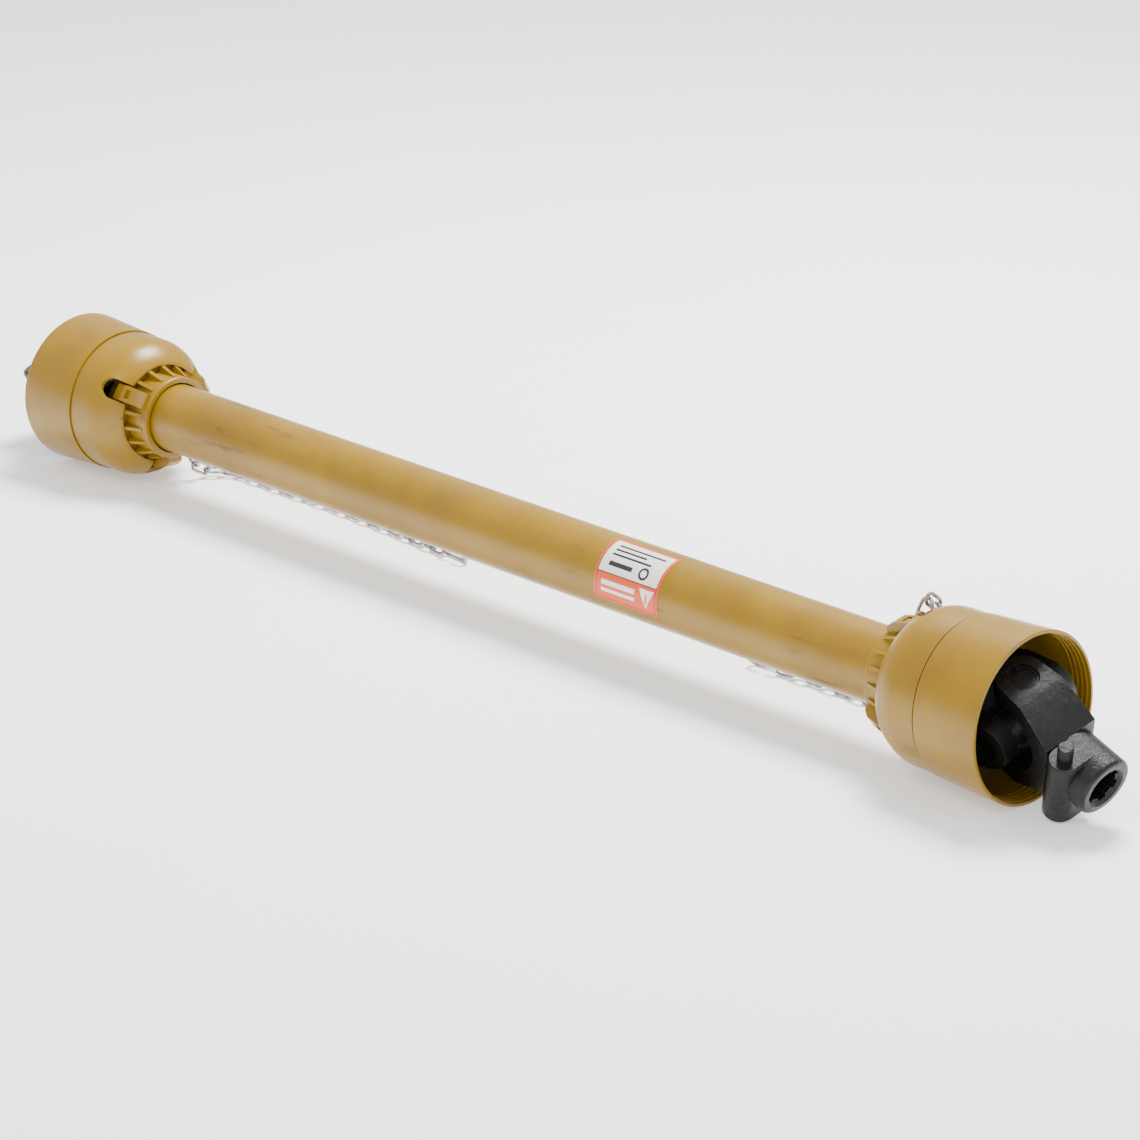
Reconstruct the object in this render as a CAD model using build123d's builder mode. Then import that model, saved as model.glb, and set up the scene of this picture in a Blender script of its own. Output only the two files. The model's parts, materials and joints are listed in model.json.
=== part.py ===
from build123d import *
import os
from math import ceil, cos, radians, sin, sqrt

# Farm drive shaft (cardan shaft) with its safety guard, lying pushed together on a floor.
# The shaft runs along X, the end that goes on the tractor towards +X, Z up.
# The origin is on the floor under the middle of the whole shaft. Millimetres and degrees.
os.makedirs("parts", exist_ok=True)

# ---------------------------------------------------------------- fits
RUN = 0.05          # running clearance on radius
LOOSE = 0.3         # clearance of plastic or loose pieces
ROLL_GAP = 0.04     # clearance of a pressed piece in its seat

# ---------------------------------------------------------------- tube yoke hubs and guard tubes
TUBE_HUB_R = 33.0
TUBE_HUB_START = 58.0
TUBE_HUB_END = 104.0
SOCKET_FLOOR = 64.0
RUNNER_R = TUBE_HUB_R - 3.5     # groove that the guard's bearing ring runs in
RUNNER_START = 80.0
RUNNER_WIDTH = 10.0
ROLL_PIN_R = 4.0
ROLL_PIN_PLACE = 97.0
ROLL_PIN_WALL = 1.2
ROLL_PIN_SLIT = 1.0
OUTER_TUBE_R = 36.3
GUARD_WALL = 2.2
INNER_TUBE_R = OUTER_TUBE_R - GUARD_WALL - LOOSE

# ---------------------------------------------------------------- guard: the two cones
MOUTH_R = 80.0      # outside radius of a cone at its mouth
GUARD_LENGTH = 1346.0
CONE_WALL = 3.0
BAND_LENGTH = 73.0  # flared band from the mouth to the groove
BAND_ROOT_R = MOUTH_R - 4.0
GROOVE_R = BAND_ROOT_R - 2.6
GROOVE_WIDTH = 2.5
BODY_R = GROOVE_R + 1.2     # straight body behind the groove
BODY_END = 100.0    # distance from the mouth where the shoulder starts to turn in
SHOULDER_END = 136.0
SHOULDER_WALL = 5.0
LIP_LENGTH = 11.0
LIP_WALL = 3.0
RIDGE_COUNT = 4
RIDGE_STEP = 5.0
RIDGE_HEIGHT = 0.8
RIDGE_WIDTH = 1.5
WINDOW_WIDTH = 22.0
WINDOW_START = 112.0
LATCH_COUNT = 3

# ---------------------------------------------------------------- guard: hub and bearing ring
HUB_NOSE = 162.0    # distance from the mouth to the nose of the guard hub
HUB_BORE_R = TUBE_HUB_R + 1.6
RING_R = HUB_BORE_R + 2.4
RING_SLIT = 3.0
POCKET_R = RING_R + 0.2     # pocket for the bearing ring
HOLDER_R = RING_R + 4.0
HOLDER_END = 92.0
COLLAR_R = OUTER_TUBE_R + 7.7
COLLAR_EDGE = 3.0
FLANGE_R = COLLAR_R + 8.0
FLANGE_BACK = 127.0
FLANGE_THICK = 4.0
SHOULDER_R = FLANGE_R + 2.0
RIB_THICK = 3.5
RIBS_BETWEEN = 5
RIB_FOOT = 134.0
ARM_WIDTH = 17.0
# outline of a latch arm: height over the flange's rim, distance past the flange's back
ARM_OUTLINE = [(3, 25), (7, 10), (7, 5), (5, 3), (5, -8), (-1, -8), (-1, 9), (-4, 14)]
ARM_ROOT = 14.0
ARM_SLOT_LENGTH = 7.0
ARM_SLOT_WIDTH = 10.0
ARM_SLOT_PLACE = 13.0       # past the flange's back
ARM_SLOT_FLOOR = 4.0        # over the flange's rim
CHAIN_HOLE_R = 3.9
LUG_HOLE_PLACE = COLLAR_R + 7.5     # chain hole in the lug, from the shaft's axis
LUG_FROM_MOUTH = 150.0
LUG_EYE_R = 6.3
LUG_THICK = 4.0
TUBE_SEAT_DEPTH = 30.0
NEST_R = OUTER_TUBE_R + 1.7     # socket that takes the end of the outer guard tube
NEST_DEPTH = 16.0
NEST_OVERLAP = 10.0
GUARD_SEAT_FLOOR = 125.0
GUARD_TUBE_SHORT = 60.0

# ---------------------------------------------------------------- universal joints
JOINT_INSET = 17.0  # joint centre behind the mouth of its cone
EAR_R = 24.0
EAR_OUT = 50.0      # outer faces of the ears from the joint centre
EAR_IN = 32.0
CUP_R = 15.1
CUP_OUT = EAR_OUT - 4.0
CUP_IN = EAR_IN - 1.4
CUP_FLOOR = 1.3
CROWN_R = CUP_R - 1.7   # outside of the needle crown
TRUNNION_R = CROWN_R - 2.5
SHOULDER_ARM_R = TRUNNION_R + 2.6
SHOULDER_ARM_END = 26.0
CROSS_BALL_R = 19.0
SEAL_R = CUP_R - LOOSE
RING_WIRE = 1.5     # thickness of a circlip
RING_DEPTH = 1.3
CIRCLIP_GAP = 7.0
CIRCLIP_EYE_R = 1.7
CIRCLIP_HOLE_R = 0.7
CIRCLIP_EYE_SIDE = 5.2
CIRCLIP_EYE_DROP = CUP_R - 2.8
FORK_WEB = 46.0     # floor of the fork from the joint centre
EAR_TURN = 22.0     # how far the ears of the tube yokes are turned below level
NIPPLE_R = 3.0
NIPPLE_STEM = 10.6
NIPPLE_HEX_R = 4.0
NIPPLE_NECK_R = 2.0
NIPPLE_NECK = 1.0
NIPPLE_TIP_R = 2.5
NIPPLE_TIP = 2.0

# ---------------------------------------------------------------- drive tubes: rounded triangles
LOBE_OFFSET = 17.5
LOBE_R = 9.0
OUTER_DRIVE_WALL = 4.0
INNER_DRIVE_WALL = 3.5
DRIVE_END_GAP = 63.0

# ---------------------------------------------------------------- end yokes
YOKE_HUB_R = 28.5
YOKE_HUB_END = 108.0
YOKE_EDGE = 4.0
SPLINE_COUNT = 6
SPLINE_MAJOR_R = 17.5   # 1 3/8 inch spline, with clearance
SPLINE_MINOR_R = 14.9
SPLINE_GROOVE = 8.8
SPLINE_CHAMFER = 3.0
BOSS_R = 15.0
BOSS_PLACE = 77.0   # along the hub from the joint centre
BOSS_SIDE = SPLINE_MAJOR_R + 4.5    # offset of the lock pin from the hub axis
BOSS_BOTTOM = -43.0
BOSS_EDGE = 2.5     # bevel round the boss's ends
BOSS_TOP = 29.0
BOSS_LIP = 1.5      # lip that keeps the pin in its hole
PIN_R = 8.9
PIN_WAIST_R = BOSS_SIDE - SPLINE_MAJOR_R - 0.1
PIN_WAIST_START = 1.3
PIN_WAIST_LENGTH = 23.4
BUTTON_R = 7.0
BUTTON_TOP = 45.0
BUTTON_EDGE = 1.5
PIN_BOTTOM = -12.0
PLUG_THICK = 4.0
PLUG_DEPTH = 3.0
PLUG_R = PIN_R + 1.5
SPRING_R = 6.4
SPRING_WIRE_R = 0.9
SPRING_TURNS = 5

# ---------------------------------------------------------------- rest pose of the joints
DROOP = 20.0        # swing of each cross about the ears of its tube yoke
TRACTOR_LEAN = 8.6
IMPLEMENT_LEAN = -10.0
TRACTOR_LATCH_TURN = 80.0
IMPLEMENT_LATCH_TURN = 33.0
TRACTOR_LUG_TURN = 110.0
IMPLEMENT_LUG_TURN = 243.0

# ---------------------------------------------------------------- chains and sticker
LINK_WIRE_R = 1.75
LINK_INNER = 18.4
LINK_SPREAD = 5.2   # wire centre from the link's middle line
LINK_SLACK = 0.9
FLOOR_GAP = 0.5
TWIST_LINKS = 3
HOOK_WIRE_R = 1.75
HOOK_SPREAD = 6.0
HOOK_STRAIGHT = 26.0
HOOK_OPENING = 7.0
HOOK_LEAN = 52.0    # lean of the hook lying on the floor
CLIP_STRAIGHT = 7.0
CLIP_OPENING = 5.0
CLIP_SEAT = 0.6     # how far out in the lug's hole the clip's wire hangs
LABEL_LENGTH = 85.0
LABEL_CENTRE = 714.0  # from the nose of the guard hub at the implement end
LABEL_LOW = -22.0
LABEL_HIGH = 85.0
LABEL_THICK = 0.3

# ---------------------------------------------------------------- places along the shaft
AXIS_Z = MOUTH_R
LINK_PITCH = LINK_INNER - LINK_SLACK
LINK_HOLD = LINK_WIRE_R + LINK_SLACK / 2    # end wire past the point where two links meet
UP = Vector(0, 0, 1)


def reach_past_mouth(lean):
    """How far an end yoke stands out of its cone at rest."""
    along = cos(radians(DROOP)) * cos(radians(lean))
    across = sqrt(1 - along**2)
    corner = (YOKE_HUB_END - YOKE_EDGE) * along + (YOKE_HUB_R - YOKE_EDGE) * across
    return corner + YOKE_EDGE - JOINT_INSET


TRACTOR_REACH = reach_past_mouth(TRACTOR_LEAN)
IMPLEMENT_REACH = reach_past_mouth(IMPLEMENT_LEAN)
WHOLE_LENGTH = TRACTOR_REACH + GUARD_LENGTH + IMPLEMENT_REACH
TRACTOR_MOUTH = WHOLE_LENGTH / 2 - TRACTOR_REACH
IMPLEMENT_MOUTH = TRACTOR_MOUTH - GUARD_LENGTH
IMPLEMENT_NOSE = IMPLEMENT_MOUTH + HUB_NOSE
TRACTOR_NOSE = TRACTOR_MOUTH - HUB_NOSE


class End:
    """Everything that tells one end of the shaft from the other."""

    def __init__(self, name, mouth, sign, lean, latch_turn, lug_turn):
        self.name = name
        self.sign = sign
        self.latch_turn = latch_turn
        self.lug_turn = lug_turn
        outward = Vector(sign, 0, 0)
        ear = Vector(0, -cos(radians(EAR_TURN)), -sin(radians(EAR_TURN)))
        centre = Vector(mouth - sign * JOINT_INSET, 0, AXIS_Z)
        # guard frame: z runs from the mouth towards the tube
        self.guard = Plane((mouth, 0, AXIS_Z), x_dir=(0, -1, 0), z_dir=outward * -1)
        # tube yoke frame: x along its ears, z towards the tube
        self.tube_yoke = Plane(centre, x_dir=ear, z_dir=outward * -1)
        swung = turned(outward, ear, -sign * DROOP)
        self.cross = Plane(centre, x_dir=ear, z_dir=swung)
        hub_axis = turned(swung, self.cross.y_dir, lean)
        # end yoke frame: x along its ears, z out of its splined bore
        self.end_yoke = Plane(centre, x_dir=self.cross.y_dir * -1, z_dir=hub_axis)


def turned(direction, about, angle):
    return direction.rotate(Axis((0, 0, 0), about), angle)


def section(plane):
    """Plane through the frame's axis: sketch x is the frame's x, sketch y runs along its z."""
    return Plane(plane.origin, x_dir=plane.x_dir, z_dir=plane.x_dir.cross(plane.z_dir))


def spun(plane, angle):
    """The same frame turned about its own z."""
    return Plane(plane.origin, x_dir=turned(plane.x_dir, plane.z_dir, angle), z_dir=plane.z_dir)


def lay(plane, towards):
    """A frame with its z along one of the given frame's directions, for pieces across the axis."""
    return Plane(plane.origin, x_dir=plane.z_dir, z_dir=towards)


def axis_of(plane):
    return Axis(plane.origin, plane.z_dir)


def finish(part, label):
    part.label = label
    export_step(part, f"parts/{label}.step")
    print(f"{label}: {len(part.solids())} solids, {part.volume:.1f} mm3")


TRACTOR = End("tractor", TRACTOR_MOUTH, 1, TRACTOR_LEAN, TRACTOR_LATCH_TURN, TRACTOR_LUG_TURN)
IMPLEMENT = End("implement", IMPLEMENT_MOUTH, -1, IMPLEMENT_LEAN, IMPLEMENT_LATCH_TURN, IMPLEMENT_LUG_TURN)
ENDS = [TRACTOR, IMPLEMENT]


# ================================================================ guard
def latch_frames(end):
    """One frame per latch, x pointing out through it."""
    # the turn is counted the way the eye sees it from the side, so it changes sign with the end
    return [spun(end.guard, end.sign * (end.latch_turn + 360 / LATCH_COUNT * k)) for k in range(LATCH_COUNT)]


def lug_plane(end):
    """Across the shaft at the chain lug, x pointing out through its hole."""
    return spun(end.guard, end.sign * end.lug_turn).offset(LUG_FROM_MOUTH)


def band_radius(distance):
    return MOUTH_R - (MOUTH_R - BAND_ROOT_R) * distance / BAND_LENGTH


def guard_cone(end):
    cut = section(end.guard)
    groove_end = BAND_LENGTH + GROOVE_WIDTH
    inner_r = GROOVE_R - CONE_WALL + LOOSE
    inner_end = SHOULDER_END - SHOULDER_WALL
    lip_r = FLANGE_R + LOOSE
    with BuildPart() as cone:
        with BuildSketch(cut):
            with BuildLine():
                Polyline(
                    (0, SHOULDER_END),
                    (0, 0),
                    (MOUTH_R, 0),
                    (BAND_ROOT_R, BAND_LENGTH),
                    (GROOVE_R, BAND_LENGTH),
                    (GROOVE_R, groove_end),
                    (BODY_R, groove_end),
                    (BODY_R, BODY_END),
                )
                TangentArc((BODY_R, BODY_END), (SHOULDER_R, SHOULDER_END), tangent=(0, 1))
                Line((SHOULDER_R, SHOULDER_END), (0, SHOULDER_END))
            make_face()
        revolve(axis=axis_of(end.guard))
        mouth_edge = cone.edges().filter_by(GeomType.CIRCLE).sort_by(Axis.X)[-1 if end.sign > 0 else 0]
        fillet(mouth_edge, CONE_WALL / 3)
        with BuildSketch(cut):
            with BuildLine():
                Polyline(
                    (0, inner_end),
                    (0, 0),
                    (MOUTH_R - CONE_WALL, 0),
                    (BAND_ROOT_R - CONE_WALL, BAND_LENGTH - CONE_WALL),
                    (inner_r, BAND_LENGTH),
                    (inner_r, BODY_END),
                )
                TangentArc((inner_r, BODY_END), (SHOULDER_R, inner_end), tangent=(0, 1))
                Line((SHOULDER_R, inner_end), (0, inner_end))
            make_face()
        revolve(axis=axis_of(end.guard), mode=Mode.SUBTRACT)
        # lip that sits round the flange of the hub
        with BuildSketch(end.guard.offset(SHOULDER_END - LIP_LENGTH)):
            Circle(lip_r + LIP_WALL)
        extrude(amount=LIP_LENGTH - LIP_WALL)
        with BuildSketch(end.guard.offset(BODY_END)):
            Circle(lip_r)
        extrude(amount=BODY_END, mode=Mode.SUBTRACT)
        # ridges inside the mouth
        for k in range(RIDGE_COUNT):
            place = RIDGE_STEP * (k + 1)
            wall_inside = band_radius(place) - CONE_WALL
            with BuildSketch(cut):
                with Locations((wall_inside, place)):
                    Rectangle(2 * RIDGE_HEIGHT, RIDGE_WIDTH)
            revolve(axis=axis_of(end.guard))
        # windows for the latch arms, open towards the tube
        for frame in latch_frames(end):
            middle = WINDOW_START + WINDOW_WIDTH / 2
            with BuildSketch(lay(frame, frame.x_dir)):
                with Locations((middle, 0)):
                    Circle(WINDOW_WIDTH / 2)
                with Locations((middle, 0)):
                    Rectangle(BODY_END, WINDOW_WIDTH, align=(Align.MIN, Align.CENTER))
            extrude(amount=MOUTH_R, mode=Mode.SUBTRACT)
    finish(cone.part, f"{end.name}_guard_cone")


def guard_hub(end, tube_r, tube_floor, nest_r):
    """Hub of the guard: bearing holder, flange with ribs, collar for the tube and latch arms."""
    cut = section(end.guard)
    pocket_start = JOINT_INSET + RUNNER_START
    flange_front = FLANGE_BACK + FLANGE_THICK
    yoke_clear = JOINT_INSET + TUBE_HUB_END + 5 * LOOSE
    with BuildPart() as hub:
        with BuildSketch(end.guard.offset(HOLDER_END)):
            Circle(HOLDER_R)
        extrude(amount=HUB_NOSE - HOLDER_END)
        with BuildSketch(end.guard.offset(FLANGE_BACK)):
            Circle(FLANGE_R)
        extrude(amount=FLANGE_THICK)
        with BuildSketch(end.guard.offset(FLANGE_BACK)):
            Circle(COLLAR_R)
        extrude(amount=HUB_NOSE - FLANGE_BACK)
        nose_edge = hub.edges().filter_by(GeomType.CIRCLE).sort_by(axis_of(end.guard))[-1]
        fillet(nose_edge, COLLAR_EDGE)
        # ribs between the latch arms
        rib_step = 360 / LATCH_COUNT / (RIBS_BETWEEN + 1)
        for latch in latch_frames(end):
            for k in range(1, RIBS_BETWEEN + 1):
                frame = spun(latch, rib_step * k)
                with BuildSketch(section(frame)):
                    with BuildLine():
                        Polyline(
                            (HOLDER_R, flange_front - 1),
                            (FLANGE_R, flange_front - 1),
                            (FLANGE_R, RIB_FOOT),
                            (COLLAR_R + 1, HUB_NOSE - 2 * COLLAR_EDGE),
                            (HOLDER_R, HUB_NOSE - 2 * COLLAR_EDGE),
                            close=True,
                        )
                    make_face()
                extrude(amount=RIB_THICK / 2, both=True)
        # latch arms reach over the lip into the windows of the cone
        for latch in latch_frames(end):
            with BuildSketch(section(latch)):
                with BuildLine():
                    Polyline(
                        (HOLDER_R, HUB_NOSE - COLLAR_EDGE),
                        (FLANGE_R - COLLAR_EDGE, HUB_NOSE - COLLAR_EDGE),
                        *[(FLANGE_R + height, FLANGE_BACK + past) for height, past in ARM_OUTLINE],
                        (HOLDER_R, FLANGE_BACK + ARM_ROOT),
                        close=True,
                    )
                make_face()
            extrude(amount=ARM_WIDTH / 2, both=True)
            with BuildSketch(lay(latch, latch.x_dir).offset(MOUTH_R)):
                with Locations((FLANGE_BACK + ARM_SLOT_PLACE, 0)):
                    Rectangle(ARM_SLOT_LENGTH, ARM_SLOT_WIDTH)
            extrude(amount=-(MOUTH_R - FLANGE_R - ARM_SLOT_FLOOR), mode=Mode.SUBTRACT)
        # lug for the chain, a plate across the shaft with a hole
        with BuildSketch(lug_plane(end)):
            with Locations((LUG_HOLE_PLACE, 0)):
                Circle(LUG_EYE_R)
            Rectangle(HOLDER_R, 2 * LUG_EYE_R, align=(Align.MIN, Align.CENTER))
            with Locations((COLLAR_R, 0)):
                Rectangle(2 * LUG_EYE_R, 2 * LUG_EYE_R)
            with Locations((LUG_HOLE_PLACE, 0)):
                Circle(CHAIN_HOLE_R, mode=Mode.SUBTRACT)
        extrude(amount=LUG_THICK / 2, both=True)
        # bores, from the mouth side to the tube side
        with BuildSketch(cut):
            with BuildLine():
                Polyline(
                    (0, HOLDER_END),
                    (HUB_BORE_R, HOLDER_END),
                    (HUB_BORE_R, pocket_start - LOOSE / 2),
                    (POCKET_R, pocket_start - LOOSE / 2),
                    (POCKET_R, pocket_start + RUNNER_WIDTH + LOOSE / 2),
                    (HUB_BORE_R, pocket_start + RUNNER_WIDTH + LOOSE / 2),
                    (HUB_BORE_R, yoke_clear),
                    (tube_r - GUARD_WALL, yoke_clear),
                    (tube_r - GUARD_WALL, tube_floor),
                    (tube_r + ROLL_GAP, tube_floor),
                    (tube_r + ROLL_GAP, HUB_NOSE),
                    (0, HUB_NOSE),
                    close=True,
                )
            make_face()
        revolve(axis=axis_of(end.guard), mode=Mode.SUBTRACT)
        with BuildSketch(end.guard.offset(HUB_NOSE - NEST_DEPTH)):
            Circle(nest_r)
        extrude(amount=NEST_DEPTH, mode=Mode.SUBTRACT)
    finish(hub.part, f"{end.name}_guard_hub")


def bearing_ring(end):
    start = JOINT_INSET + RUNNER_START + LOOSE
    with BuildPart() as ring:
        with BuildSketch(end.guard.offset(start)):
            Circle(RING_R)
            Circle(RUNNER_R + LOOSE, mode=Mode.SUBTRACT)
            # slit that lets the ring open over the yoke
            with Locations((0, RING_R)):
                Rectangle(RING_SLIT, RING_R, mode=Mode.SUBTRACT)
        extrude(amount=RUNNER_WIDTH - 2 * LOOSE)
    finish(ring.part, f"{end.name}_bearing_ring")


def guard_tube(name, start, end, radius):
    with BuildPart() as tube:
        with BuildSketch(Plane((start, 0, AXIS_Z), x_dir=(0, -1, 0), z_dir=(1, 0, 0))):
            Circle(radius)
            Circle(radius - GUARD_WALL, mode=Mode.SUBTRACT)
        extrude(amount=end - start)
    finish(tube.part, name)


def sticker():
    """Thin printed sheet on the side of the outer guard tube."""
    start = IMPLEMENT_NOSE + LABEL_CENTRE - LABEL_LENGTH / 2
    skin = OUTER_TUBE_R
    plane = Plane((start, 0, AXIS_Z), x_dir=(0, -1, 0), z_dir=(-1, 0, 0))
    with BuildPart() as label:
        with BuildSketch(plane):
            with BuildLine():
                low = radians(LABEL_LOW)
                high = radians(LABEL_HIGH)
                corners = [
                    (r * cos(t), r * sin(t)) for r, t in
                    [(skin, low), (skin + LABEL_THICK, low), (skin + LABEL_THICK, high), (skin, high)]
                ]
                CenterArc((0, 0), skin, LABEL_LOW, LABEL_HIGH - LABEL_LOW)
                CenterArc((0, 0), skin + LABEL_THICK, LABEL_LOW, LABEL_HIGH - LABEL_LOW)
                Line(corners[0], corners[1])
                Line(corners[2], corners[3])
            make_face()
        extrude(amount=-LABEL_LENGTH)
    finish(label.part, "guard_sticker")


# ================================================================ drive tubes
def lobed_outline(radius):
    """Rounded triangle: three round lobes joined by straight sides."""
    with BuildSketch() as outline:
        with PolarLocations(LOBE_OFFSET, 3):
            Circle(radius)
        make_hull()
    return outline.sketch


def drive_tube(name, end, tip, lobe_r, wall):
    start = end.tube_yoke.offset(SOCKET_FLOOR)
    length = abs(tip - start.origin.X)
    outside = lobed_outline(lobe_r)
    inside = lobed_outline(lobe_r - wall)
    with BuildPart() as tube:
        with BuildSketch(start):
            add(outside)
            add(inside, mode=Mode.SUBTRACT)
        extrude(amount=length)
        with BuildSketch(pin_plane(end)):
            Circle(ROLL_PIN_R)
        extrude(amount=TUBE_HUB_R, both=True, mode=Mode.SUBTRACT)
    finish(tube.part, name)


def pin_plane(end):
    """Across the tube yoke's hub, where the roll pin goes through."""
    frame = end.tube_yoke.offset(ROLL_PIN_PLACE)
    return Plane(frame.origin, x_dir=frame.z_dir, z_dir=frame.x_dir)


def roll_pin(end):
    with BuildPart() as pin:
        with BuildSketch(pin_plane(end)):
            Circle(ROLL_PIN_R - ROLL_GAP)
            Circle(ROLL_PIN_R - ROLL_PIN_WALL, mode=Mode.SUBTRACT)
            with Locations((0, ROLL_PIN_R)):
                Rectangle(ROLL_PIN_SLIT, ROLL_PIN_R, mode=Mode.SUBTRACT)
        extrude(amount=TUBE_HUB_R - 1, both=True)
    finish(pin.part, f"{end.name}_roll_pin")


# ================================================================ universal joints
def across_ears(frame):
    """Frame whose z runs through both ears."""
    return Plane(frame.origin, x_dir=frame.y_dir, z_dir=frame.x_dir)


def fork(frame, hub_r):
    """Two ears and the web between them, opening away from z, with bores for the cups."""
    side = across_ears(frame)
    neck = FORK_WEB + EAR_IN / 2
    slot_end = FORK_WEB - EAR_IN
    with BuildPart() as blank:
        with BuildSketch(section(frame)):
            with BuildLine():
                Polyline(
                    (hub_r, neck),
                    (EAR_OUT, EAR_R),
                    (EAR_OUT, -EAR_R),
                    (-EAR_OUT, -EAR_R),
                    (-EAR_OUT, EAR_R),
                    (-hub_r, neck),
                    close=True,
                )
            make_face()
            with Locations((0, slot_end)):
                Circle(EAR_IN, mode=Mode.SUBTRACT)
            with Locations((0, slot_end)):
                Rectangle(2 * EAR_IN, 2 * EAR_OUT, align=(Align.CENTER, Align.MAX), mode=Mode.SUBTRACT)
        extrude(amount=hub_r, both=True)
        # round off the ears, seen from the side
        with BuildSketch(side):
            Circle(EAR_R)
            with Locations((0, neck)):
                Rectangle(2 * hub_r, 2)
            make_hull()
        extrude(amount=EAR_OUT, both=True, mode=Mode.INTERSECT)
        with BuildSketch(side):
            Circle(CUP_R)
        extrude(amount=EAR_OUT, both=True, mode=Mode.SUBTRACT)
        for sign in (-1, 1):
            with BuildSketch(side.offset(sign * CUP_OUT)):
                Circle(CUP_R + RING_DEPTH)
            extrude(amount=sign * (RING_WIRE + RUN), mode=Mode.SUBTRACT)
    return blank.part


def tube_yoke(end):
    frame = end.tube_yoke
    blank = fork(frame, TUBE_HUB_R - 1)
    socket = lobed_outline(socket_lobe(end) + ROLL_GAP)
    with BuildPart() as yoke:
        add(blank)
        with BuildSketch(frame.offset(TUBE_HUB_START)):
            Circle(TUBE_HUB_R)
        extrude(amount=TUBE_HUB_END - TUBE_HUB_START)
        with BuildSketch(frame.offset(RUNNER_START)):
            Circle(TUBE_HUB_R + 1)
            Circle(RUNNER_R, mode=Mode.SUBTRACT)
        extrude(amount=RUNNER_WIDTH, mode=Mode.SUBTRACT)
        with BuildSketch(frame.offset(SOCKET_FLOOR)):
            add(socket)
        extrude(amount=TUBE_HUB_END, mode=Mode.SUBTRACT)
        with BuildSketch(pin_plane(end)):
            Circle(ROLL_PIN_R)
        extrude(amount=TUBE_HUB_R + 1, both=True, mode=Mode.SUBTRACT)
    finish(yoke.part, f"{end.name}_tube_yoke")


def socket_lobe(end):
    """Lobe radius of the drive tube that goes into this end's tube yoke."""
    return LOBE_R if end is TRACTOR else LOBE_R - OUTER_DRIVE_WALL - LOOSE


def cups(frame, name):
    side = across_ears(frame)
    with BuildPart() as pair:
        for sign in (-1, 1):
            with BuildSketch(side.offset(sign * CUP_IN)):
                Circle(CUP_R - ROLL_GAP / 2)
            extrude(amount=sign * (CUP_OUT - CUP_IN))
            with BuildSketch(side.offset(sign * CUP_IN)):
                Circle(CROWN_R + RUN)
            extrude(amount=sign * (CUP_OUT - CUP_IN - CUP_FLOOR), mode=Mode.SUBTRACT)
    finish(pair.part, name)


def circlips(frame, name):
    """Inside circlips that hold the cups in the ears."""
    side = across_ears(frame)
    with BuildPart() as pair:
        for sign in (-1, 1):
            with BuildSketch(side.offset(sign * (CUP_OUT + RUN / 2))):
                Circle(CUP_R + RING_DEPTH - RUN)
                Circle(CUP_R - 2 * RING_DEPTH, mode=Mode.SUBTRACT)
                with Locations((0, -CUP_R)):
                    Rectangle(CIRCLIP_GAP, CUP_R, mode=Mode.SUBTRACT)
                for eye in (-1, 1):
                    with Locations((eye * CIRCLIP_EYE_SIDE, -CIRCLIP_EYE_DROP)):
                        Circle(CIRCLIP_EYE_R)
                        Circle(CIRCLIP_HOLE_R, mode=Mode.SUBTRACT)
            extrude(amount=sign * RING_WIRE)
    finish(pair.part, name)


def arm_planes(frame):
    """The four arms of a cross: one plane for each, z pointing out along the arm."""
    directions = [frame.x_dir, frame.x_dir * -1, frame.y_dir, frame.y_dir * -1]
    return [Plane(frame.origin, x_dir=frame.z_dir, z_dir=direction) for direction in directions]


def cross(end):
    trunnion_end = CUP_OUT - CUP_FLOOR - LOOSE
    with BuildPart() as spider:
        with Locations(end.cross.location):
            Sphere(CROSS_BALL_R)
        for arm in arm_planes(end.cross):
            with BuildSketch(arm):
                Circle(SHOULDER_ARM_R)
            extrude(amount=SHOULDER_ARM_END)
            with BuildSketch(arm):
                Circle(TRUNNION_R)
            extrude(amount=trunnion_end)
        with BuildSketch(nipple_plane(end)):
            Circle(NIPPLE_R)
        extrude(amount=2 * CROSS_BALL_R, mode=Mode.SUBTRACT)
    finish(spider.part, f"{end.name}_cross")


def nipple_plane(end):
    """Between two arms of the cross, where the grease nipple is screwed in."""
    frame = end.cross
    slant = (frame.x_dir + frame.y_dir).normalized()
    return Plane(frame.origin, x_dir=frame.z_dir, z_dir=slant).offset(CROSS_BALL_R - 6)


def grease_nipple(end):
    base = nipple_plane(end)
    with BuildPart() as nipple:
        with BuildSketch(base):
            Circle(NIPPLE_R - ROLL_GAP)
        extrude(amount=NIPPLE_STEM)
        with BuildSketch(base.offset(NIPPLE_STEM)):
            RegularPolygon(NIPPLE_HEX_R, 6)
        extrude(amount=NIPPLE_R)
        with BuildSketch(base.offset(NIPPLE_STEM + NIPPLE_R)):
            Circle(NIPPLE_NECK_R)
        extrude(amount=NIPPLE_NECK)
        with BuildSketch(base.offset(NIPPLE_STEM + NIPPLE_R + NIPPLE_NECK)):
            Circle(NIPPLE_TIP_R)
        extrude(amount=NIPPLE_TIP, taper=25)
    finish(nipple.part, f"{end.name}_grease_nipple")


def seals(end):
    with BuildPart() as rings:
        for arm in arm_planes(end.cross):
            with BuildSketch(arm.offset(SHOULDER_ARM_END)):
                Circle(SEAL_R)
                Circle(TRUNNION_R, mode=Mode.SUBTRACT)
            extrude(amount=CUP_IN - SHOULDER_ARM_END - LOOSE)
    finish(rings.part, f"{end.name}_cross_seals")


def needle_crowns(end):
    with BuildPart() as crowns:
        for arm in arm_planes(end.cross):
            with BuildSketch(arm.offset(CUP_IN + LOOSE)):
                Circle(CROWN_R)
                Circle(TRUNNION_R, mode=Mode.SUBTRACT)
            extrude(amount=CUP_OUT - CUP_FLOOR - CUP_IN - 3 * LOOSE)
    finish(crowns.part, f"{end.name}_needle_crowns")


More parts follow.
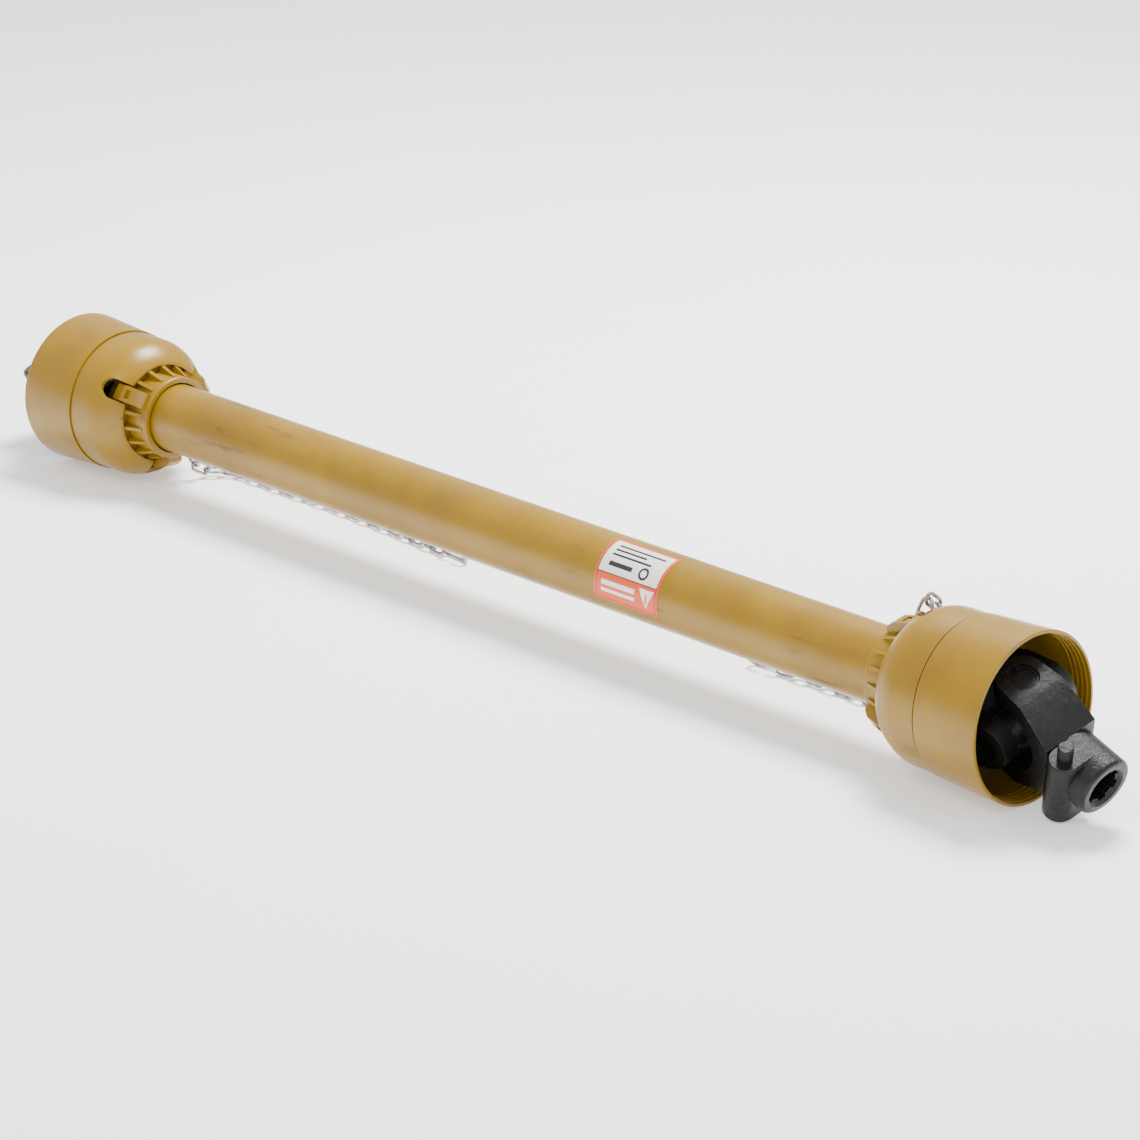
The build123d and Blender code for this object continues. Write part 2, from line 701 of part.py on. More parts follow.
# ================================================================ end yokes and their locks
def boss_plane(end, height):
    """Across the end yoke's hub at the lock pin, z along the pin towards its button."""
    frame = end.end_yoke
    centre = frame.from_local_coords((height, BOSS_SIDE, BOSS_PLACE))
    return Plane(centre, x_dir=frame.y_dir, z_dir=frame.x_dir)


def end_yoke(end):
    frame = end.end_yoke
    blank = fork(frame, YOKE_HUB_R)
    with BuildPart() as yoke:
        add(blank)
        with BuildSketch(frame.offset(FORK_WEB + EAR_IN / 2 - 1)):
            Circle(YOKE_HUB_R)
        extrude(amount=YOKE_HUB_END - FORK_WEB - EAR_IN / 2 + 1)
        end_edge = yoke.edges().filter_by(GeomType.CIRCLE).sort_by(axis_of(frame))[-1]
        fillet(end_edge, YOKE_EDGE)
        # boss for the lock pin, with a web that carries it on the hub
        with BuildSketch(boss_plane(end, BOSS_BOTTOM + BOSS_EDGE)):
            Circle(BOSS_R)
            with Locations((-BOSS_SIDE, 0)):
                Rectangle(2, 2 * BOSS_R)
            make_hull()
        extrude(amount=BOSS_TOP - BOSS_BOTTOM - 2 * BOSS_EDGE)
        for height, way in ((BOSS_TOP - BOSS_EDGE, 1), (BOSS_BOTTOM + BOSS_EDGE, -1)):
            with BuildSketch(boss_plane(end, height)):
                Circle(BOSS_R)
                with Locations((-BOSS_SIDE, 0)):
                    Rectangle(2, 2 * BOSS_R)
                make_hull()
            extrude(amount=way * BOSS_EDGE, taper=35)
        # splined bore
        with BuildSketch(frame.offset(FORK_WEB - EAR_IN)):
            Circle(SPLINE_MINOR_R)
            with PolarLocations((SPLINE_MAJOR_R + SPLINE_MINOR_R) / 2 - 2, SPLINE_COUNT):
                Rectangle(SPLINE_MAJOR_R - SPLINE_MINOR_R + 4, SPLINE_GROOVE)
            Circle(SPLINE_MAJOR_R, mode=Mode.INTERSECT)
        extrude(amount=YOKE_HUB_END, mode=Mode.SUBTRACT)
        with BuildSketch(section(frame)):
            with BuildLine():
                Polyline(
                    (0, YOKE_HUB_END),
                    (SPLINE_MAJOR_R + SPLINE_CHAMFER, YOKE_HUB_END),
                    (SPLINE_MAJOR_R - 1, YOKE_HUB_END - SPLINE_CHAMFER - 1),
                    (0, YOKE_HUB_END - SPLINE_CHAMFER - 1),
                    close=True,
                )
            make_face()
        revolve(axis=axis_of(frame), mode=Mode.SUBTRACT)
        # hole for the lock pin and its spring, with a lip at the button's side
        with BuildSketch(boss_plane(end, BOSS_BOTTOM)):
            Circle(PIN_R + RUN)
        extrude(amount=BOSS_TOP - BOSS_LIP - BOSS_BOTTOM, mode=Mode.SUBTRACT)
        with BuildSketch(boss_plane(end, 0)):
            Circle(BUTTON_R + RUN)
        extrude(amount=BOSS_TOP, mode=Mode.SUBTRACT)
        with BuildSketch(boss_plane(end, BOSS_BOTTOM)):
            Circle(PLUG_R)
        extrude(amount=PLUG_DEPTH, mode=Mode.SUBTRACT)
    finish(yoke.part, f"{end.name}_end_yoke")


def lock_pin(end):
    head = BOSS_TOP - BOSS_LIP - RUN
    with BuildPart() as pin:
        with BuildSketch(boss_plane(end, PIN_BOTTOM)):
            Circle(PIN_R)
        extrude(amount=head - PIN_BOTTOM)
        with BuildSketch(boss_plane(end, head)):
            Circle(BUTTON_R)
        extrude(amount=BUTTON_TOP - head)
        along_pin = Axis(boss_plane(end, 0).origin, end.end_yoke.x_dir)
        top_edge = pin.edges().filter_by(GeomType.CIRCLE).sort_by(along_pin)[-1]
        fillet(top_edge, BUTTON_EDGE)
        # waist that lets the splined shaft pass while the button is pressed
        with BuildSketch(boss_plane(end, PIN_WAIST_START)):
            Circle(PIN_R + 1)
            Circle(PIN_WAIST_R, mode=Mode.SUBTRACT)
        extrude(amount=PIN_WAIST_LENGTH, mode=Mode.SUBTRACT)
    finish(pin.part, f"{end.name}_lock_pin")


def lock_plug(end):
    with BuildPart() as plug:
        with BuildSketch(boss_plane(end, BOSS_BOTTOM)):
            Circle(PLUG_R - ROLL_GAP)
        extrude(amount=PLUG_DEPTH)
        with BuildSketch(boss_plane(end, BOSS_BOTTOM + PLUG_DEPTH)):
            Circle(PIN_R - LOOSE)
        extrude(amount=PLUG_THICK - PLUG_DEPTH)
    finish(plug.part, f"{end.name}_lock_plug")


def lock_spring(end):
    low = BOSS_BOTTOM + PLUG_THICK
    length = PIN_BOTTOM - low - 2 * SPRING_WIRE_R
    base = boss_plane(end, low + SPRING_WIRE_R)
    helix = base.location * Helix(pitch=length / SPRING_TURNS, height=length, radius=SPRING_R)
    with BuildPart() as spring:
        with BuildSketch(Plane(helix @ 0, z_dir=helix % 0)):
            Circle(SPRING_WIRE_R)
        sweep(path=helix, is_frenet=True)
    finish(spring.part, f"{end.name}_lock_spring")


# ================================================================ chains
def ring_wire(straight, spread, wire_r, opening):
    """Oval ring of round wire along X in the XY plane, with an opening in one long side."""
    half = straight / 2
    with BuildPart() as ring:
        with BuildLine():
            start = Line((opening / 2, spread), (half, spread))
            ThreePointArc((half, spread), (half + spread, 0), (half, -spread))
            Line((half, -spread), (-half, -spread))
            ThreePointArc((-half, -spread), (-half - spread, 0), (-half, spread))
            Line((-half, spread), (-opening / 2, spread))
        with BuildSketch(Plane(start @ 0, x_dir=(0, 0, 1), z_dir=(1, 0, 0))):
            Circle(wire_r)
        sweep()
    return ring.part


def stations(points):
    """Points one link pitch apart along a smooth route through the given points."""
    with BuildLine() as line:
        Spline(*points)
    route = line.wire()
    steps = ceil(route.length * 4)
    found = [route @ 0]
    for k in range(steps + 1):
        here = route @ (k / steps)
        if (here - found[-1]).length >= LINK_PITCH:
            found.append(here)
    return found


def place_ring(ring, middle, along, across, label):
    frame = Plane(middle, x_dir=along, z_dir=along.cross(across))
    with BuildPart() as placed:
        with Locations(frame.location):
            add(ring)
    finish(placed.part, label)


def chain(end, clip_way, first_way, points):
    """Clip in the lug, links along the points on the way, and an open hook as the last piece.

    Each link is turned a quarter against the one before, and the chain twists a little over
    its first links so that the ones on the floor lean on two sides.
    """
    eye = lug_plane(end).from_local_coords((LUG_HOLE_PLACE, 0, 0))
    clip = ring_wire(CLIP_STRAIGHT, HOOK_SPREAD, HOOK_WIRE_R, CLIP_OPENING)
    clip_half = CLIP_STRAIGHT / 2 + HOOK_SPREAD
    low = eye + clip_way * CLIP_SEAT
    place_ring(clip, low + clip_way * clip_half, clip_way, Vector(1, 0, 0), f"{end.name}_chain_clip")
    start = low + clip_way * 2 * clip_half - first_way * LINK_HOLD
    marks = [start] + stations([start + first_way * LINK_PITCH] + points)
    link = ring_wire(LINK_INNER + 2 * LINK_WIRE_R - 2 * LINK_SPREAD, LINK_SPREAD, LINK_WIRE_R, 0)
    side = Vector(1, 0, 0)
    with BuildPart() as links:
        for k, (here, there) in enumerate(zip(marks, marks[1:])):
            along = (there - here).normalized()
            side = (side - along * side.dot(along)).normalized()
            across = turned(side, along, 90 * (k + 1) + min(k, TWIST_LINKS) * 45 / TWIST_LINKS)
            frame = Plane((here + there) * 0.5, x_dir=along, z_dir=along.cross(across))
            with Locations(frame.location):
                add(link)
    finish(links.part, f"{end.name}_chain")
    hook = ring_wire(HOOK_STRAIGHT, HOOK_SPREAD, HOOK_WIRE_R, HOOK_OPENING)
    last = marks[-1] + along * (HOOK_STRAIGHT / 2 + HOOK_SPREAD - LINK_HOLD)
    rise = HOOK_SPREAD * sin(radians(HOOK_LEAN)) + HOOK_WIRE_R + FLOOR_GAP - last.Z
    place_ring(hook, last + UP * rise, along, along.cross(across), f"{end.name}_chain_hook")


def make_end(end):
    guard_cone(end)
    bearing_ring(end)
    tube_yoke(end)
    cups(end.tube_yoke, f"{end.name}_tube_yoke_cups")
    circlips(end.tube_yoke, f"{end.name}_tube_yoke_circlips")
    roll_pin(end)
    cross(end)
    grease_nipple(end)
    seals(end)
    needle_crowns(end)
    end_yoke(end)
    cups(end.end_yoke, f"{end.name}_end_yoke_cups")
    circlips(end.end_yoke, f"{end.name}_end_yoke_circlips")
    lock_pin(end)
    lock_plug(end)
    lock_spring(end)


for one_end in ENDS:
    make_end(one_end)

outer_tube_start = IMPLEMENT_NOSE - NEST_OVERLAP
outer_tube_end = TRACTOR_NOSE + TUBE_SEAT_DEPTH
inner_tube_start = IMPLEMENT_MOUTH + GUARD_SEAT_FLOOR
guard_hub(TRACTOR, OUTER_TUBE_R, HUB_NOSE - TUBE_SEAT_DEPTH, OUTER_TUBE_R + ROLL_GAP)
guard_hub(IMPLEMENT, INNER_TUBE_R, GUARD_SEAT_FLOOR, NEST_R)
guard_tube("outer_guard_tube", outer_tube_start, outer_tube_end, OUTER_TUBE_R)
guard_tube("inner_guard_tube", inner_tube_start, TRACTOR_NOSE - GUARD_TUBE_SHORT, INNER_TUBE_R)
drive_tube("outer_drive_tube", TRACTOR, IMPLEMENT_NOSE, LOBE_R, OUTER_DRIVE_WALL)
inner_lobe = LOBE_R - OUTER_DRIVE_WALL - LOOSE
inner_tip = TRACTOR.tube_yoke.offset(SOCKET_FLOOR).origin.X - DRIVE_END_GAP
drive_tube("inner_drive_tube", IMPLEMENT, inner_tip, inner_lobe, INNER_DRIVE_WALL)
sticker()


# ================================================================ laying the chains
on_floor = LINK_WIRE_R + LINK_SPREAD * sin(radians(45)) + FLOOR_GAP
implement_lug = lug_plane(IMPLEMENT)
lug_x = implement_lug.origin.X
chain(
    IMPLEMENT,
    implement_lug.x_dir,
    Vector(0.1, 0.85, -0.5).normalized(),
    [
        Vector(lug_x + 12, 61, on_floor + 2),
        Vector(lug_x + 28, 69, on_floor + 1),
        Vector(lug_x + 60, 71, on_floor),
        Vector(lug_x + 150, 72, on_floor),
        Vector(lug_x + 280, 68, on_floor),
        Vector(lug_x + 380, 60, on_floor),
    ],
)
tractor_lug = lug_plane(TRACTOR)
lug_x = tractor_lug.origin.X
chain(
    TRACTOR,
    turned(tractor_lug.x_dir, Vector(0, 1, 0), 15),
    Vector(0, 0.8, -0.6),
    [
        Vector(lug_x + 6, 62, AXIS_Z + 24),
        Vector(lug_x + 5, 70, AXIS_Z - 8),
        Vector(lug_x + 1, 70, AXIS_Z - 37),
        Vector(lug_x - 13, 70, on_floor + 17),
        Vector(lug_x - 34, 70, on_floor + 3),
        Vector(lug_x - 60, 70, on_floor),
        Vector(lug_x - 130, 70, on_floor),
        Vector(lug_x - 220, 66, on_floor),
    ],
)
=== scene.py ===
import json
from math import radians
import bmesh
import bpy
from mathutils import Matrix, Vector

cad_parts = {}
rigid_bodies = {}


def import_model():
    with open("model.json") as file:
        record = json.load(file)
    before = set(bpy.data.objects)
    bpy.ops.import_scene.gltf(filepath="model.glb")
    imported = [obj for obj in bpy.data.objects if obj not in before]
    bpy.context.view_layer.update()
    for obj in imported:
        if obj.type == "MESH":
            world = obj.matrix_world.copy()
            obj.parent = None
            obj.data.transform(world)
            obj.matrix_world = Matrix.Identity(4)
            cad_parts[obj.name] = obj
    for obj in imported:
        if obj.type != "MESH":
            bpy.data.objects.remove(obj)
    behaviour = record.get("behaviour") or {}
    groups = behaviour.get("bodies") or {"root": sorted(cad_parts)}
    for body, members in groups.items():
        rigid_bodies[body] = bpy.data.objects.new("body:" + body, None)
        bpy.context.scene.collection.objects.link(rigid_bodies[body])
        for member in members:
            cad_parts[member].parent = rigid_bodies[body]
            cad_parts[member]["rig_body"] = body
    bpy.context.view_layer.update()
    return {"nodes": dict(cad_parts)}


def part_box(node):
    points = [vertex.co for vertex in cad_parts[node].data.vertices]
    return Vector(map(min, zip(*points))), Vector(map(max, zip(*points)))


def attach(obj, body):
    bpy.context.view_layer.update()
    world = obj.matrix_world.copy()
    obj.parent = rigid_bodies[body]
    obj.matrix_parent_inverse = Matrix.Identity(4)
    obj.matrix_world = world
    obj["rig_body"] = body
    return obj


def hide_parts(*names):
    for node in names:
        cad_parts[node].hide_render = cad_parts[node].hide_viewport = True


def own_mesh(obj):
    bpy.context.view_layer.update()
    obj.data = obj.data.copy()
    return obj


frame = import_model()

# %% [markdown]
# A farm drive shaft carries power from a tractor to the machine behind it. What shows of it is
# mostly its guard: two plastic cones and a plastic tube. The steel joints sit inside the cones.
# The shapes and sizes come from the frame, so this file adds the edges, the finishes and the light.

nodes = frame["nodes"]
tube_low, tube_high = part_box("outer_guard_tube")
axis_height = (tube_low[2] + tube_high[2]) / 2
label_low, label_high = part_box("guard_sticker")

# %% [markdown]
# A material in Blender is a small graph. Most of the graphs below need the same few effects, so
# each effect is a node group: a graph that is built once and used in many materials, each with
# its own numbers. A helper that adds a node and sets its inputs keeps the graphs readable.

# %% Helpers that build shader graphs


def add_node(tree, kind, settings=None, **inputs):
    """A node with some settings, its inputs given by name as values or as sockets to link."""
    node = tree.nodes.new(kind)
    for name, value in (settings or {}).items():
        setattr(node, name, value)
    for name, value in inputs.items():
        socket = node.inputs[name.replace("_", " ")]
        if isinstance(value, bpy.types.NodeSocket):
            tree.links.new(value, socket)
        else:
            socket.default_value = value
    return node


def calc(tree, operation, *values):
    """A Math node; its inputs share one name, so they are set by place."""
    node = tree.nodes.new("ShaderNodeMath")
    node.operation = operation
    for place, value in enumerate(values):
        if isinstance(value, bpy.types.NodeSocket):
            tree.links.new(value, node.inputs[place])
        else:
            node.inputs[place].default_value = value
    return node.outputs[0]


def blend_colours(tree, mask, first, second):
    """The first colour where the mask is 0 and the second where it is 1."""
    node = tree.nodes.new("ShaderNodeMix")
    node.data_type = "RGBA"
    for place, value in ((0, mask), (6, first), (7, second)):
        if isinstance(value, bpy.types.NodeSocket):
            tree.links.new(value, node.inputs[place])
        else:
            node.inputs[place].default_value = value
    return node.outputs[2]


def band(tree, value, low, high):
    """0 below low, 1 above high, and a straight ramp between."""
    node = add_node(tree, "ShaderNodeMapRange", Value=value)
    node.inputs["From Min"].default_value = low
    node.inputs["From Max"].default_value = high
    return node.outputs["Result"]


def new_group(name, inputs, outputs):
    """An empty node group with float inputs and the given outputs."""
    tree = bpy.data.node_groups.new(name, "ShaderNodeTree")
    for label, start in inputs.items():
        socket = tree.interface.new_socket(name=label, in_out="INPUT", socket_type="NodeSocketFloat")
        socket.default_value = start
    for label in outputs:
        tree.interface.new_socket(name=label, in_out="OUTPUT", socket_type="NodeSocketFloat")
    return tree, tree.nodes.new("NodeGroupInput"), tree.nodes.new("NodeGroupOutput")


print("helpers ready")

# %% [markdown]
# Wear shows first at edges, because that is where a part is knocked and rubbed. A Bevel node
# gives the normal that the surface would have if its edges were rounder, so where that differs
# from the true normal there is an edge. On its own it draws a neat line, which looks painted on,
# so noise breaks the line up.

# %% Edge wear


def make_edge_wear():
    tree, given, result = new_group(
        "Edge wear", {"Amount": 0.5, "Scale": 60.0, "Sharpness": 0.05, "Width": 0.0012}, ["Mask"])
    rounder = add_node(tree, "ShaderNodeBevel", {"samples": 6}, Radius=given.outputs["Width"])
    agree = add_node(tree, "ShaderNodeVectorMath", {"operation": "DOT_PRODUCT"})
    tree.links.new(rounder.outputs["Normal"], agree.inputs[0])
    tree.links.new(add_node(tree, "ShaderNodeNewGeometry").outputs["Normal"], agree.inputs[1])
    turned = calc(tree, "SUBTRACT", 1.0, agree.outputs["Value"])
    place = add_node(tree, "ShaderNodeTexCoord").outputs["Object"]
    noise = add_node(tree, "ShaderNodeTexNoise", Vector=place, Scale=given.outputs["Scale"],
                     Detail=6.0, Roughness=0.65).outputs["Fac"]
    edge = band(tree, turned, 0.01, 0.12)
    broken = calc(tree, "ADD", edge, calc(tree, "MULTIPLY", calc(tree, "SUBTRACT", noise, 0.5), 1.6))
    start = calc(tree, "SUBTRACT", 1.0, given.outputs["Amount"])
    worn = calc(tree, "DIVIDE", calc(tree, "SUBTRACT", broken, start), given.outputs["Sharpness"])
    worn = calc(tree, "MULTIPLY", calc(tree, "MINIMUM", calc(tree, "MAXIMUM", worn, 0.0), 1.0),
                band(tree, edge, 0.02, 0.2))
    tree.links.new(worn, result.inputs["Mask"])
    return tree


edge_wear = make_edge_wear()
print("edge wear group has", len(edge_wear.nodes), "nodes")

# %% [markdown]
# A shaft is dragged in and out of sheds, so its guard gets scuffs: short, thin marks that run
# mostly along it. Noise stretched along X gives streaks, and a second, larger noise keeps them in
# a few places only.

# %% Scuffs and streaks


def make_scuffs():
    tree, given, result = new_group(
        "Scuffs", {"Amount": 0.4, "Fine": 90.0, "Patch": 9.0, "Stretch": 0.12}, ["Mask"])
    place = add_node(tree, "ShaderNodeTexCoord").outputs["Object"]
    squeeze = add_node(tree, "ShaderNodeCombineXYZ", X=given.outputs["Stretch"], Y=1.0, Z=1.0)
    streaked = add_node(tree, "ShaderNodeVectorMath", {"operation": "MULTIPLY"})
    tree.links.new(place, streaked.inputs[0])
    tree.links.new(squeeze.outputs[0], streaked.inputs[1])
    fine = add_node(tree, "ShaderNodeTexNoise", Vector=streaked.outputs[0], Scale=given.outputs["Fine"],
                    Detail=4.0, Roughness=0.6).outputs["Fac"]
    patch = add_node(tree, "ShaderNodeTexNoise", Vector=place, Scale=given.outputs["Patch"],
                     Detail=3.0).outputs["Fac"]
    line = band(tree, fine, 0.58, 0.66)
    start = calc(tree, "SUBTRACT", 0.75, calc(tree, "MULTIPLY", given.outputs["Amount"], 0.35))
    where = calc(tree, "MULTIPLY", calc(tree, "SUBTRACT", patch, start), 9.0)
    where = calc(tree, "MINIMUM", calc(tree, "MAXIMUM", where, 0.0), 1.0)
    tree.links.new(calc(tree, "MULTIPLY", line, where), result.inputs["Mask"])
    return tree


scuffs = make_scuffs()
print("scuffs group has", len(scuffs.nodes), "nodes")

# %% [markdown]
# Dirt comes as small dark specks and as a thin film that lies on what faces up. Cells of a
# Voronoi texture are dots when only their centres are kept, and a noise thins the dots out.

# %% Specks of dirt and a film of dust


def make_dirt():
    tree, given, result = new_group(
        "Dirt", {"Specks": 0.3, "Scale": 120.0}, ["Specks", "Film"])
    place = add_node(tree, "ShaderNodeTexCoord").outputs["Object"]
    cells = add_node(tree, "ShaderNodeTexVoronoi", Vector=place, Scale=given.outputs["Scale"])
    dot = calc(tree, "SUBTRACT", 1.0, band(tree, cells.outputs["Distance"], 0.10, 0.22))
    thin = add_node(tree, "ShaderNodeTexNoise", Vector=place, Scale=14.0, Detail=3.0).outputs["Fac"]
    start = calc(tree, "SUBTRACT", 0.8, calc(tree, "MULTIPLY", given.outputs["Specks"], 0.4))
    kept = calc(tree, "MULTIPLY", calc(tree, "SUBTRACT", thin, start), 8.0)
    kept = calc(tree, "MINIMUM", calc(tree, "MAXIMUM", kept, 0.0), 1.0)
    tree.links.new(calc(tree, "MULTIPLY", dot, kept), result.inputs["Specks"])
    facing = add_node(tree, "ShaderNodeSeparateXYZ")
    tree.links.new(add_node(tree, "ShaderNodeNewGeometry").outputs["Normal"], facing.inputs[0])
    cloud = add_node(tree, "ShaderNodeTexNoise", Vector=place, Scale=30.0, Detail=5.0).outputs["Fac"]
    film = calc(tree, "MULTIPLY", band(tree, facing.outputs["Z"], 0.1, 1.0), band(tree, cloud, 0.35, 0.7))
    tree.links.new(film, result.inputs["Film"])
    return tree


dirt = make_dirt()
print("dirt group has", len(dirt.nodes), "nodes")

# %% [markdown]
# No surface is perfectly smooth. Moulded plastic has a fine grain, a casting is lumpy and paint
# has an orange peel. One group gives the height of all of them: a coarse and a fine noise, mixed.

# %% Surface grain


def make_grain():
    tree, given, result = new_group(
        "Surface grain", {"Coarse": 40.0, "Fine": 900.0, "Share": 0.5}, ["Height", "Variation"])
    place = add_node(tree, "ShaderNodeTexCoord").outputs["Object"]
    coarse = add_node(tree, "ShaderNodeTexNoise", Vector=place, Scale=given.outputs["Coarse"],
                      Detail=3.0).outputs["Fac"]
    fine = add_node(tree, "ShaderNodeTexNoise", Vector=place, Scale=given.outputs["Fine"],
                    Detail=2.0).outputs["Fac"]
    rest = calc(tree, "SUBTRACT", 1.0, given.outputs["Share"])
    height = calc(tree, "ADD", calc(tree, "MULTIPLY", coarse, given.outputs["Share"]),
                  calc(tree, "MULTIPLY", fine, rest))
    tree.links.new(height, result.inputs["Height"])
    tree.links.new(coarse, result.inputs["Variation"])
    return tree


grain = make_grain()
print("grain group has", len(grain.nodes), "nodes")

# %% [markdown]
# Every finish ends in one Principled BSDF, Blender's general surface. What is the same all over,
# such as the coat or the index of refraction, is set on its own socket. What changes from place
# to place is linked in.

# %% Starting a material


def use_group(tree, group, **inputs):
    node = tree.nodes.new("ShaderNodeGroup")
    node.node_tree = group
    for name, value in inputs.items():
        node.inputs[name].default_value = value
    return node


def new_material(name, metallic=0.0, **shader_values):
    """An empty material, its tree and its shader."""
    material = bpy.data.materials.new(name)
    material.use_nodes = True
    tree = material.node_tree
    shader = tree.nodes["Principled BSDF"]
    shader.inputs["Metallic"].default_value = metallic
    for label, value in shader_values.items():
        shader.inputs[label.replace("_", " ")].default_value = value
    return material, tree, shader


def connect(tree, shader, colour, roughness, height, depth, strength=0.6):
    """Colour, roughness and bump into the shader. The depth of the bump is in metres."""
    bump = add_node(tree, "ShaderNodeBump", Height=height, Distance=depth, Strength=strength)
    tree.links.new(colour, shader.inputs["Base Color"])
    tree.links.new(roughness, shader.inputs["Roughness"])
    tree.links.new(bump.outputs["Normal"], shader.inputs["Normal"])


print("material helpers ready")

# %% [markdown]
# The guard is moulded from yellow polyethylene. Sun and hands take it to a brownish ochre that is
# a little uneven, with pale rubbed edges, dark scuffs and specks of old oil. It is still fairly
# glossy: the roughness is about a third, and it changes with the grain and the scuffs.

# %% Guard plastic


def make_guard_plastic():
    material, tree, shader = new_material("ochre guard plastic", IOR=1.43)
    texture = use_group(tree, grain, Coarse=14.0, Fine=1400.0, Share=0.3)
    fresh = (0.275, 0.152, 0.0015, 1.0)
    faded = (0.215, 0.116, 0.0015, 1.0)
    colour = blend_colours(tree, band(tree, texture.outputs["Variation"], 0.35, 0.68), fresh, faded)
    rubbed = use_group(tree, edge_wear, Amount=0.42, Scale=70.0, Sharpness=0.4)
    colour = blend_colours(tree, calc(tree, "MULTIPLY", rubbed.outputs["Mask"], 0.45),
                           colour, (0.40, 0.25, 0.02, 1.0))
    marks = use_group(tree, scuffs, Amount=0.74, Fine=110.0, Patch=7.0, Stretch=0.10)
    colour = blend_colours(tree, calc(tree, "MULTIPLY", marks.outputs["Mask"], 0.6),
                           colour, (0.085, 0.048, 0.016, 1.0))
    specks = use_group(tree, dirt, Specks=0.42, Scale=150.0)
    colour = blend_colours(tree, calc(tree, "MULTIPLY", specks.outputs["Specks"], 0.65),
                           colour, (0.10, 0.06, 0.03, 1.0))
    colour = blend_colours(tree, calc(tree, "MULTIPLY", specks.outputs["Film"], 0.05),
                           colour, (0.46, 0.34, 0.16, 1.0))
    rough = calc(tree, "ADD", 0.22, calc(tree, "MULTIPLY", texture.outputs["Variation"], 0.18))
    rough = calc(tree, "ADD", rough, calc(tree, "MULTIPLY", marks.outputs["Mask"], 0.2))
    height = calc(tree, "SUBTRACT", texture.outputs["Height"],
                  calc(tree, "MULTIPLY", marks.outputs["Mask"], 0.5))
    connect(tree, shader, colour, rough, height, 0.0002, 0.45)
    return material


guard_plastic = make_guard_plastic()
print("made", guard_plastic.name)

# %% [markdown]
# The yokes are forged steel with a coat of satin black paint. The forging's skin is lumpy under
# the paint. The paint is thin at the edges, and where it has gone the steel shows: that is one
# mask that drives the colour, the metal and the roughness together.

# %% Black paint on forged steel


def make_black_paint():
    material, tree, shader = new_material("black paint over forged steel", IOR=1.36)
    skin = use_group(tree, grain, Coarse=130.0, Fine=1100.0, Share=0.65)
    colour = blend_colours(tree, skin.outputs["Variation"], (0.0018, 0.0018, 0.002, 1.0),
                           (0.005, 0.005, 0.0055, 1.0))
    dust = use_group(tree, dirt, Specks=0.3, Scale=260.0)
    colour = blend_colours(tree, calc(tree, "MULTIPLY", dust.outputs["Film"], 0.01),
                           colour, (0.20, 0.18, 0.15, 1.0))
    worn = use_group(tree, edge_wear, Amount=0.40, Scale=220.0, Sharpness=0.2)
    scratches = use_group(tree, scuffs, Amount=0.5, Fine=240.0, Patch=24.0, Stretch=0.35)
    bare = calc(tree, "MINIMUM", 1.0, calc(tree, "ADD", worn.outputs["Mask"],
                calc(tree, "MULTIPLY", scratches.outputs["Mask"], 0.15)))
    colour = blend_colours(tree, calc(tree, "MULTIPLY", bare, 0.5), colour, (0.12, 0.115, 0.11, 1.0))
    tree.links.new(calc(tree, "MULTIPLY", bare, 0.6), shader.inputs["Metallic"])
    rough = calc(tree, "ADD", 0.24, calc(tree, "MULTIPLY", skin.outputs["Variation"], 0.24))
    rough = calc(tree, "ADD", rough, calc(tree, "MULTIPLY", dust.outputs["Film"], 0.1))
    connect(tree, shader, colour, rough, skin.outputs["Height"], 0.0016, 0.8)
    return material


black_paint = make_black_paint()
print("made", black_paint.name)

# %% [markdown]
# Bare metals differ in colour, in how rough they are and in how much grime sits on them, but the
# way they look is built the same. One function makes them all: polished places, duller places
# and a film of grease or oxide on top.

# %% Bare metals


def make_metal(name, bright, dull, grime, rough_low, rough_high, fine, depth):
    material, tree, shader = new_material(name, metallic=1.0)
    skin = use_group(tree, grain, Coarse=fine / 6, Fine=fine, Share=0.5)
    cloudy = band(tree, skin.outputs["Variation"], 0.35, 0.65)
    colour = blend_colours(tree, cloudy, bright, dull)
    specks = use_group(tree, dirt, Specks=0.6, Scale=fine / 2)
    colour = blend_colours(tree, specks.outputs["Specks"], colour, grime)
    worn = use_group(tree, edge_wear, Amount=0.45, Scale=fine / 3, Sharpness=0.3)
    colour = blend_colours(tree, calc(tree, "MULTIPLY", worn.outputs["Mask"], 0.6), colour, bright)
    rough = calc(tree, "ADD", rough_low, calc(tree, "MULTIPLY", cloudy, rough_high - rough_low))
    rough = calc(tree, "ADD", rough, calc(tree, "MULTIPLY", specks.outputs["Specks"], 0.25))
    connect(tree, shader, colour, rough, skin.outputs["Height"], depth)
    return material


zinc = make_metal("dulled zinc on chain", (0.50, 0.50, 0.50, 1), (0.24, 0.23, 0.22, 1),
                  (0.10, 0.07, 0.05, 1), 0.28, 0.55, 900.0, 0.0002)
ground_steel = make_metal("ground bearing steel", (0.60, 0.60, 0.58, 1), (0.42, 0.41, 0.39, 1),
                          (0.09, 0.07, 0.05, 1), 0.2, 0.42, 1200.0, 0.0001)
spring_steel = make_metal("oil blackened spring steel", (0.13, 0.12, 0.12, 1), (0.06, 0.06, 0.06, 1),
                          (0.10, 0.06, 0.04, 1), 0.32, 0.5, 900.0, 0.0001)
forged_steel = make_metal("greasy forged steel", (0.16, 0.15, 0.14, 1), (0.07, 0.065, 0.06, 1),
                          (0.05, 0.035, 0.02, 1), 0.3, 0.6, 500.0, 0.0005)
brass = make_metal("plain brass", (0.72, 0.55, 0.26, 1), (0.48, 0.34, 0.15, 1),
                   (0.12, 0.08, 0.04, 1), 0.25, 0.45, 1500.0, 0.0001)
